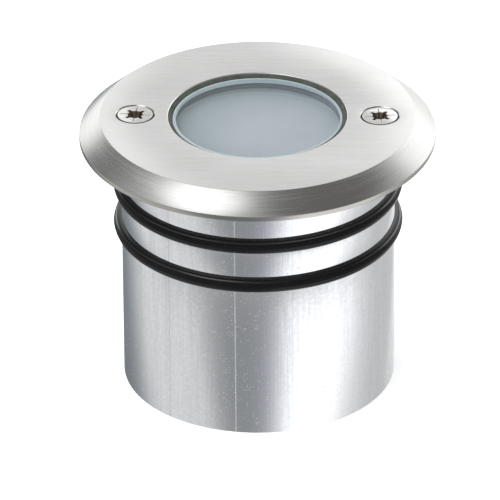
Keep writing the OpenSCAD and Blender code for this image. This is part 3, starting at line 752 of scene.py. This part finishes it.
def die_line(tree, angle, place_degrees, width_degrees, strength):
    """A thin upright line on the tube, at an angle from its front towards the right."""
    away = distance(tree, angle, radians(place_degrees))
    line = ramp(tree, away, 0, radians(width_degrees), 1, 0, soft=True)
    return maths(tree, "MULTIPLY", line, strength)


for place_degrees, width_degrees, tone, strength in (
    (-39.1, 0.3, (0.45, 0.46, 0.48), 0.6),
    (15.6, 0.25, (0.55, 0.56, 0.6), 0.4),
    (63, 0.3, (0.5, 0.5, 0.52), 0.3),
    (140, 0.5, (0.5, 0.5, 0.52), 0.5),
):
    line = die_line(tree, wrapped["Angle"], place_degrees, width_degrees, strength)
    colour = blend_colours(tree, line, colour, tone)
marks = die_line(tree, wrapped["Angle"], -8.4, 0.4, 0.75)
from_grip = distance(tree, wrapped["Angle"], radians(-7))
handled = ramp(tree, from_grip, radians(6), radians(16), 0.3, 0.03)
for stretch, per_metre, size in (((1, 1, 6), 420, 0.2), ((3, 1, 1), 700, 0.14), ((1, 1, 1), 1500, 0.22)):
    scuffs = use_group(tree, specks, {
        "Vector": vector_maths(tree, "MULTIPLY", wrapped["Vector"], stretch),
        "Per Metre": per_metre, "Size": size, "Share": handled,
    })
    marks = maths(tree, "MAXIMUM", marks, maths(tree, "MULTIPLY", scuffs["Specks"], 0.5))
colour = blend_colours(tree, marks, colour, (1, 1, 1))
pits = use_group(tree, specks, {"Vector": place, "Per Metre": 520, "Size": 0.1, "Share": 0.03})
feed(tree, shader, {
    "Base Color": blend_colours(tree, pits["Specks"], colour, (0.38, 0.39, 0.42)),
    "Roughness": ramp(tree, mask, low=0.34, high=0.2),
    "Normal": relief(tree, drawn["Lines"], 0.004),
    "Metallic": ramp(tree, marks, low=1, high=0.55),
})


def around(count, reach, first=0):
    """Evenly spaced places round the upright axis."""
    return [Matrix.Rotation(radians(first + 360 * number / count), 4, "Z")
            @ Matrix.Translation((reach * MM, 0, 0)) for number in range(count)]


turned_aluminium = surface(
    "turned_aluminium", (0.66, 0.67, 0.68), (0.82, 0.83, 0.84), 0.25, 0.4, (60, 3000, 3000), 0.004, 80,
    metallic=1, radius=25)
outline = [(skirt_r, 0), (tube_r, 0)]
for middle_z in sorted(ring_z.values()):
    low, high = middle_z - groove_half_h, middle_z + groove_half_h
    outline += [(tube_r, low), (groove_floor_r, low), (groove_floor_r, high), (tube_r, high)]
outline += [
    (tube_r, tube_top), (glass_pocket_r, tube_top), (glass_pocket_r, ledge_top), (seat_r, ledge_top),
    (seat_r, ledge_bottom), (chamber_r, ledge_bottom), (chamber_r, shoulder_z), (skirt_r, shoulder_z),
]
shape = round_edges(lathe(outline, segments=224), 0.12)
tap_r = screw_shank_r + tap_gap
cutters = turned_at(screw_places.values(), [
    (0, tube_top - bezel_tap_depth - tap_point_h), (tap_r, tube_top - bezel_tap_depth),
    (tap_r, tube_top - tap_mouth_h), (screw_shank_r + tap_mouth_w, tube_top + nudge),
    (0, tube_top + nudge),
], segments=48)
base_screw_places = around(4, reach=25.7, first=45)
base_tap_depth = 8
base_tap_point_h = 0.6
base_tap_mouth_h, base_tap_mouth_w = 0.2, 0.25
small_screw_r = 1.25
small_tap_r = small_screw_r + tap_gap
cutters += turned_at(base_screw_places, [
    (0, shoulder_z - nudge), (small_screw_r + base_tap_mouth_w, shoulder_z - nudge),
    (small_tap_r, shoulder_z + base_tap_mouth_h), (small_tap_r, shoulder_z + base_tap_depth),
    (0, shoulder_z + base_tap_depth + base_tap_point_h),
], segments=32)
tube = link_object("tube", combine(shape, cutters), [drawn_aluminium, turned_aluminium])
for face in tube.data.polygons:
    outside = face.center.to_2d().length > (tube_r - outside_margin) * MM
    face.material_index = 0 if outside and abs(face.normal.z) < side_slope else 1
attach(tube, "housing")
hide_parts("housing")

# Two black O-rings of nitrile rubber sit half proud in the grooves and seal the light in its sleeve. They are
# moulded, with a satin skin that is polished along the mould line and on the upper side.
ring_middle_r = 30.74
ring_segments = 40
mould_line_h = 0.06
ring_rubber = surface(
    "ring_rubber", (0.008, 0.008, 0.0085), (0.012, 0.012, 0.0125), 0.2, 0.3, (100, 700, 700), 0.003, 220,
    radius=32, speck=(900, 0.02, grey(0.06)), specular=0.1)
tree = ring_rubber.node_tree
slope = node(tree, "SeparateXYZ", {0: node(tree, "NewGeometry").outputs["Normal"]}).outputs["Z"]
polish = 0
for steepness, spread, weight in ((0.06, 0.12, 0.26), (0.68, 0.13, 0.9), (0.98, 0.16, 0.5)):
    line = ramp(tree, distance(tree, slope, steepness), spread, 0, high=weight, soft=True)
    polish = maths(tree, "MAXIMUM", line, polish)
feed(tree, tree.nodes["Principled BSDF"], {"Coat Weight": polish, "Coat Roughness": 0.05, "Coat IOR": 1.75})
for name, middle_z in ring_z.items():
    shape = bmesh.new()
    section = bmesh.ops.create_circle(shape, segments=ring_segments, radius=ring_section / 2 * MM)["verts"]
    outermost = max(section, key=lambda corner: corner.co.x)
    outermost.co.x += mould_line_h * MM
    bmesh.ops.rotate(shape, verts=section, matrix=Matrix.Rotation(pi / 2, 3, "X"))
    bmesh.ops.translate(shape, verts=section, vec=(ring_middle_r * MM, 0, middle_z * MM))
    bmesh.ops.spin(shape, geom=shape.verts[:] + shape.edges[:], cent=(0, 0, 0), axis=(0, 0, 1),
                   angle=2 * pi, steps=224, use_merge=True)
    bmesh.ops.recalc_face_normals(shape, faces=shape.faces)
    ring = link_object(name + "_sealing_ring", shape, [ring_rubber])
    ring.visible_glossy = False
    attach(ring, "housing")
    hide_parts(name + "_o_ring")


# The base plate closes the chamber from below. It is turned from aluminium plate, and lies on a thin flat
# gasket under the shoulder, held by four pan head screws whose heads show inside the skirt.
def bores(radius, low, high, places=(Matrix(),)):
    """The shapes of plain round holes."""
    return [move(flat_ring(0, radius, low, high, segments=40), place) for place in places]


plate_bottom, plate_top, plate_r = heights_of("base_plate")
gland_hole_r = 6.05
clearance_hole_r = 1.4
post_count = 3
post_first = 90
post_places = around(post_count, reach=20.3, first=post_first)
stud_hole_depth = 2
plate_aluminium = surface(
    "plate_aluminium", (0.62, 0.63, 0.64), (0.78, 0.79, 0.8), 0.26, 0.42, (60, 2800, 2800), 0.004, 90,
    metallic=1, radius=20, speck=(500, 0.02, (0.4, 0.4, 0.41)))
shape = round_edges(flat_ring(0, plate_r, plate_bottom, plate_top), 0.2)
cutters = bores(gland_hole_r, plate_bottom - overrun, plate_top + overrun)
cutters += bores(clearance_hole_r, plate_bottom - overrun, plate_top + overrun, base_screw_places)
cutters += bores(small_tap_r, plate_top - stud_hole_depth, plate_top + overrun, post_places)
plate = link_object("turned_base_plate", combine(shape, cutters), [plate_aluminium])
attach(plate, "housing")
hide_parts("base_plate")

gasket_low, gasket_high = heights_of("base_plate_gasket")[:2]
base_gasket_r = chamber_r + 0.15
shape = round_edges(flat_ring(base_gasket_r, plate_r, gasket_low, gasket_high), 0.1)
cutters = bores(clearance_hole_r, plate_top - overrun, shoulder_z + overrun, base_screw_places)
base_gasket = link_object("base_gasket", combine(shape, cutters), [gasket_rubber])
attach(base_gasket, "housing")
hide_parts("base_plate_gasket")

# The small screws have domed pan heads, whose outline and recess are shares of the head's size.
small_head_r = 2.2
small_head_h = 1.6
small_head_edge = 0.06
small_core_r = small_screw_r - 0.3
small_core_bottom = -0.4
small_pitch = 0.45
small_thread_depth = 0.18
small_thread_top = -0.25
pan_outline = ((0, 1), (0.5, 0.98), (0.8, 0.88), (0.95, 0.68), (1, 0.42))
pan_recess = (0.55, 0.27, 0.3, 0.34)
pan_recess_depth = 0.55
pan_recess_turn = 3


def add_small_screws(name, stands_for, length, places, seat):
    """Adds pan head screws that stand on a seat at each place, with their threads down."""
    outline = [(small_head_r * outwards, small_head_h * upwards) for outwards, upwards in pan_outline]
    outline += [
        (small_head_r, small_head_edge), (small_head_r - small_head_edge, 0), (small_core_r, 0),
        (small_core_r, small_core_bottom), (0, small_core_bottom),
    ]
    recess = [small_head_r * share for share in pan_recess]
    tool = cross_tool(*recess, small_head_h * pan_recess_depth, small_head_h)
    head = combine(lathe(outline, segments=50), [turn(tool, pan_recess_turn)])
    thread = helix(small_screw_r, small_thread_depth, small_pitch, -length, small_thread_top, segments=36)
    shape = copies(combine(head, [thread], "UNION"), [place @ seat for place in places])
    screws = link_object(name, shape, [plain_steel])
    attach(screws, "housing")
    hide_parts(stands_for)


def copies(mesh, places):
    """One shape that holds a copy of a mesh at each place."""
    shape = bmesh.new()
    for place in places:
        first = len(shape.verts)
        shape.from_mesh(mesh)
        shape.verts.ensure_lookup_table()
        bmesh.ops.transform(shape, matrix=place, verts=shape.verts[first:])
    return shape


plain_steel = surface(
    "plain_screw_steel", (0.6, 0.6, 0.59), (0.78, 0.78, 0.77), 0.18, 0.34, 900, 0.004, 500, metallic=1)
under_plate = Matrix.Translation((0, 0, plate_bottom * MM)) @ Matrix.Rotation(pi, 4, "X")
add_small_screws("base_screws", "base_plate_screws", 8, base_screw_places, under_plate)

# The cable gland is moulded in black nylon and goes through the base plate on its own thread, with a rubber
# washer outside and a nickel-plated nut inside. Its dome nut drives a slotted claw, which squeezes a sleeve
# on the cable.
gland_flats = 15
gland_thread_r = 6
gland_thread_depth = 0.5
gland_pitch = 1.5
gland_bottom, gland_top = heights_of("gland_body")[:2]
gland_hex_bottom, gland_hex_top = 15.3, 18.3
gland_thread_overlap = 0.4
cable_way_r = 3.3
seal_r = 4.4
seal_gap = 0.05
seal_top = 13.75


def hexagon(low, high):
    """A hexagonal prism as wide as the gland, whose corners are turned down at both ends."""
    flat_r = gland_flats / 2
    corner_r = flat_r / cos(radians(30))
    drop = (corner_r - flat_r) * tan(radians(30))
    shape = bmesh.new()
    bmesh.ops.create_circle(shape, cap_ends=True, segments=6, radius=corner_r * MM)
    turn(shape, 90)
    bmesh.ops.translate(shape, verts=shape.verts, vec=(0, 0, (low - overrun) * MM))
    thicken(shape, high - low + 2 * overrun)
    bmesh.ops.recalc_face_normals(shape, faces=shape.faces)
    common = lathe([
        (0, low), (flat_r - nudge, low), (corner_r + nudge, low + drop + nudge),
        (corner_r + nudge, high - drop - nudge), (flat_r - nudge, high), (0, high),
    ], segments=96)
    return combine(shape, [common], "INTERSECT")


black_nylon = surface(
    "black_nylon", (0.02, 0.02, 0.021), (0.04, 0.04, 0.042), 0.34, 0.5, 1100, 0.01, 250,
    speck=(900, 0.03, grey(0.12)))
threads = [
    helix(gland_thread_r, gland_thread_depth, gland_pitch, low, high, segments=60)
    for low, high in ((gland_bottom, gland_hex_bottom + gland_thread_overlap),
                      (gland_hex_top - gland_thread_overlap, gland_top))
]
gland_mesh = combine(hexagon(gland_hex_bottom, gland_hex_top), threads, "UNION")
cutters = bores(cable_way_r, gland_bottom - overrun, gland_top + overrun)
cutters += bores(seal_r + seal_gap, gland_bottom - overrun, seal_top + seal_gap)
gland = link_object("gland_body_shell", combine(gland_mesh, cutters), [black_nylon])
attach(gland, "housing")
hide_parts("gland_body")

shape = flat_ring(gland_hole_r, gland_flats / 2, gland_hex_top, plate_bottom, segments=96)
washer = link_object("gland_rubber_washer", round_edges(shape, 0.25), [ring_rubber])
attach(washer, "housing")
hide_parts("gland_washer")

lock_nut_top = plate_top + 2.8
nickel = surface(
    "nickel_plated_brass", (0.66, 0.62, 0.5), (0.8, 0.76, 0.66), 0.2, 0.35, 700, 0.006, 300, metallic=1)
cutters = bores(gland_hole_r, plate_top - overrun, lock_nut_top + overrun)
lock_nut = link_object("gland_plated_nut", combine(hexagon(plate_top, lock_nut_top), cutters), [nickel])
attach(lock_nut, "housing")
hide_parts("gland_lock_nut")

seal_low, seal_high = heights_of("gland_seal")[:2]
cable_r = 3
shape = flat_ring(cable_r, seal_r, seal_low, seal_high, segments=72)
seal = link_object("gland_rubber_sleeve", round_edges(shape, 0.3, steps=3), [ring_rubber])
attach(seal, "housing")
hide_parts("gland_seal")

claw_bottom, claw_top = heights_of("gland_claw")[:2]
claw_rim_bottom = claw_top - 1.2
claw_tip_r = 4
claw_fingers = 8
claw_slot_w = 0.6
grey_nylon = surface("grey_nylon", grey(0.3), (0.4, 0.4, 0.39), 0.38, 0.55, 900, 0.01, 300)
shape = lathe([(cable_way_r, claw_bottom), (claw_tip_r, claw_bottom), (seal_r, claw_rim_bottom),
               (seal_r, claw_top), (cable_way_r, claw_top)], segments=96)
round_edges(shape, 0.08, least_angle=40)
slot_h = claw_rim_bottom - claw_bottom + overrun
cutters = [move(block((seal_r, claw_slot_w, slot_h), (0, 0, claw_rim_bottom - slot_h / 2)), place)
           for place in around(claw_fingers, seal_r)]
claw = link_object("gland_slotted_claw", combine(shape, cutters), [grey_nylon])
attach(claw, "gland_claw")
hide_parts("gland_claw")

nut_bottom, nut_top = heights_of("gland_dome_nut")[:2]
nut_hex_bottom = 10.46
nut_hex_overlap = 0.3
nut_gap = 0.15
nut_mouth_h = 1.2
dome_r = gland_flats / 2 - 0.06
dome_mouth_r = 5
dome_steps = 8
dome_outline = [(0, nut_hex_bottom + overrun), (dome_r, nut_hex_bottom + overrun), (dome_r, claw_top)]
for step in range(1, dome_steps + 1):
    bend = radians(90 * step / dome_steps)
    dome_outline.append((dome_mouth_r + (dome_r - dome_mouth_r) * cos(bend),
                         claw_top - (claw_top - nut_bottom) * sin(bend)))
dome = lathe(dome_outline + [(0, nut_bottom)], segments=96)
nut_mesh = combine(hexagon(nut_hex_bottom - nut_hex_overlap, nut_top), [dome], "UNION")
hollow = lathe([
    (0, nut_bottom - overrun), (cable_way_r + nut_gap, nut_bottom - overrun),
    (cable_way_r + nut_gap, nut_bottom + nut_mouth_h), (claw_tip_r + nut_gap, nut_bottom + nut_mouth_h),
    (seal_r + nut_gap, claw_rim_bottom), (seal_r + nut_gap, claw_top), (gland_hole_r, claw_top),
    (gland_hole_r, nut_top + overrun), (0, nut_top + overrun),
], segments=96)
dome_nut = link_object("gland_nut", combine(nut_mesh, [hollow]), [black_nylon])
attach(dome_nut, "gland_nut")
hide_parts("gland_dome_nut")

# The light engine hangs under the ledge: a spun reflector of bright anodised sheet stands on a white circuit
# board with three LEDs, which is screwed to a thick aluminium heat plate.
reflector_bottom, reflector_top, reflector_flange_r = heights_of("reflector")
reflector_wall = 0.8
reflector_low_r = 8.5
reflector_mouth_r = 17.4
reflector_bulge = 0.35
reflector_steps = 12
reflector_rim_z = reflector_top - reflector_wall
bright_sheet = surface(
    "bright_anodised_sheet", grey(0.82), grey(0.93), 0.06, 0.16, (50, 1800, 1800), 0.002, 120, metallic=1,
    radius=13)
inside = []
for step in range(reflector_steps + 1):
    share = step / reflector_steps
    inside.append((reflector_low_r + (reflector_mouth_r - reflector_low_r) * share
                   + reflector_bulge * sin(pi * share),
                   reflector_bottom + (reflector_rim_z - reflector_bottom) * share))
outside = [(r + reflector_wall, z) for r, z in inside[:-1]]
outside.append((reflector_mouth_r + reflector_wall, reflector_rim_z))
shape = lathe(inside + [(reflector_mouth_r, reflector_top), (reflector_flange_r, reflector_top),
                        (reflector_flange_r, reflector_rim_z)] + outside[::-1])
reflector = link_object("spun_reflector", shape, [bright_sheet])
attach(reflector, "housing")
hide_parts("reflector")

board_bottom, board_top, led_board_r = heights_of("led_board")
on_board = Matrix.Translation((0, 0, board_top * MM))
under_board = Matrix.Translation((0, 0, board_bottom * MM))
board_screw_places = around(post_count, reach=13.6, first=post_first)
white_mask = surface("white_solder_mask", (0.82, 0.82, 0.8), (0.9, 0.9, 0.88), 0.3, 0.42, 500, 0.006, 200)
copper_edge = surface(
    "board_edge", (0.5, 0.47, 0.38), (0.62, 0.58, 0.48), 0.5, 0.7, (300, 300, 4000), 0.02, 400)
shape = flat_ring(0, led_board_r, board_bottom, board_top, segments=126)
cutters = bores(clearance_hole_r, board_bottom - overrun, board_top + overrun, board_screw_places)
board = link_object("led_circuit_board", combine(shape, cutters), [white_mask, copper_edge])
for face in board.data.polygons:
    face.material_index = 1 if abs(face.normal.z) < side_slope else 0
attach(board, "housing")
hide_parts("led_board")

led_side = 3.5
led_h = 0.8
led_dome_r = 1.4
led_dome_steps = 6
led_dome_foot = led_h - 0.1
white_ceramic = surface("white_ceramic", (0.78, 0.78, 0.76), (0.86, 0.86, 0.84), 0.35, 0.5, 900, 0.008, 600)
phosphor = surface("yellow_phosphor", (0.75, 0.55, 0.08), (0.9, 0.72, 0.16), 0.06, 0.14, 1800, 0.004, 900)
shape = round_edges(block((led_side, led_side, led_h), (0, 0, led_h / 2)), 0.12)
package_faces = len(shape.faces)
outline = [(0, led_h + led_dome_r)]
for step in range(1, led_dome_steps + 1):
    bend = radians(90 * step / led_dome_steps)
    outline.append((led_dome_r * sin(bend), led_h + led_dome_r * cos(bend)))
lathe(outline + [(led_dome_r, led_dome_foot), (0, led_dome_foot)], segments=40, shape=shape)
shape.faces.ensure_lookup_table()
for face in shape.faces[package_faces:]:
    face.material_index = 1
places = [place @ on_board for place in around(3, reach=4.3, first=-90)]
shape = copies(as_mesh(shape), places)
leds = link_object("led_packages", shape, [white_ceramic, phosphor])
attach(leds, "housing")
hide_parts("led_emitters")

add_small_screws("led_board_pan_screws", "led_board_screws", 4, board_screw_places, on_board)
add_small_screws("heat_plate_pan_screws", "heat_plate_screws", 6, post_places, under_board)

# The driver is sealed in the chamber below the heat plate: a green board between brass posts, with a
# rectifier, a chip, an inductor, a capacitor and a terminal block. These pieces keep their built shapes, with
# their own finishes.
chip_resin = surface("chip_resin", (0.02, 0.02, 0.021), grey(0.04), 0.5, 0.7, 1500, 0.012, 600)
for name, material in {
    "lower_posts": nickel,
    "upper_posts": nickel,
    "heat_plate": plate_aluminium,
    "terminal_screws": plain_steel,
    "driver_rectifier": chip_resin,
    "driver_chip": chip_resin,
    "driver_board": surface(
        "green_solder_mask", (0.015, 0.13, 0.05), (0.03, 0.2, 0.08), 0.22, 0.36, 700, 0.01, 300,
        speck=(700, 0.06, (0.6, 0.55, 0.4))),
    "terminal_block": surface(
        "terminal_plastic", (0.04, 0.3, 0.11), (0.06, 0.38, 0.15), 0.4, 0.55, 900, 0.012, 300),
    "driver_capacitor": surface(
        "capacitor_sleeve", (0.02, 0.03, 0.1), (0.03, 0.05, 0.15), 0.2, 0.3, (500, 60, 500), 0.006, 300),
    "driver_inductor": surface(
        "ferrite_and_wire", (0.07, 0.05, 0.045), (0.3, 0.12, 0.05), 0.35, 0.6, (60, 60, 3000), 0.03, 400),
    "led_lead_positive": surface(
        "red_insulation", (0.5, 0.02, 0.015), (0.62, 0.035, 0.025), 0.25, 0.4, (400, 400, 100), 0.006, 400),
    "led_lead_negative": surface(
        "black_insulation", (0.018, 0.018, 0.02), grey(0.04), 0.25, 0.4, (400, 400, 100), 0.006, 400),
}.items():
    for material_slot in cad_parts[name].material_slots:
        material_slot.material = material
